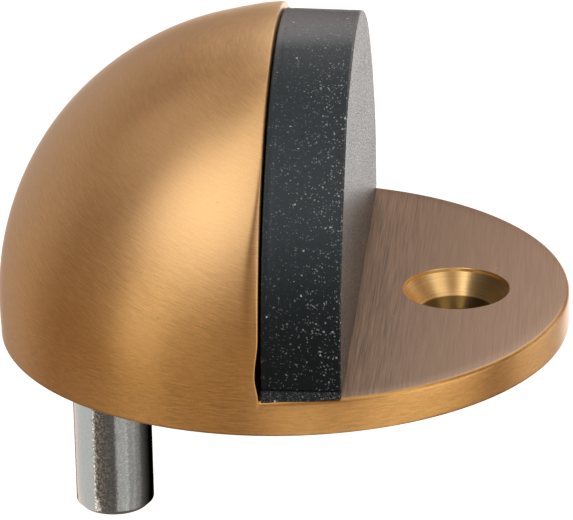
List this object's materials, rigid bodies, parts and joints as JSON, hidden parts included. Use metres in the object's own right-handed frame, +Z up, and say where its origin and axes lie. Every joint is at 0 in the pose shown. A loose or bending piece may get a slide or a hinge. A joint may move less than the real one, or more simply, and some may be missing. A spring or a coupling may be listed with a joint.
{
  "type": "door stop",
  "caption": "Floor door stop: a satin bronze half dome on a round base plate, with a half-moon rubber buffer, a countersunk screw hole and a steel locating pin.",
  "frame": {"origin": "centre of the base plate's flat underside, level with the floor's surface", "axes": "+Z up out of the floor; +X from the dome towards the buffer's face and the screw hole; the part is symmetric about the plane y = 0"},
  "size_m": [0.0451, 0.0452, 0.0416],
  "materials": {
    "satin_bronze": "satin brushed copper-bronze",
    "black_rubber": "satin moulded rubber",
    "plain_steel": "plain drawn steel"
  },
  "bodies": {
    "root": {"body": "satin_bronze", "buffer": "black_rubber", "pin": "plain_steel"}
  },
  "joints": []
}
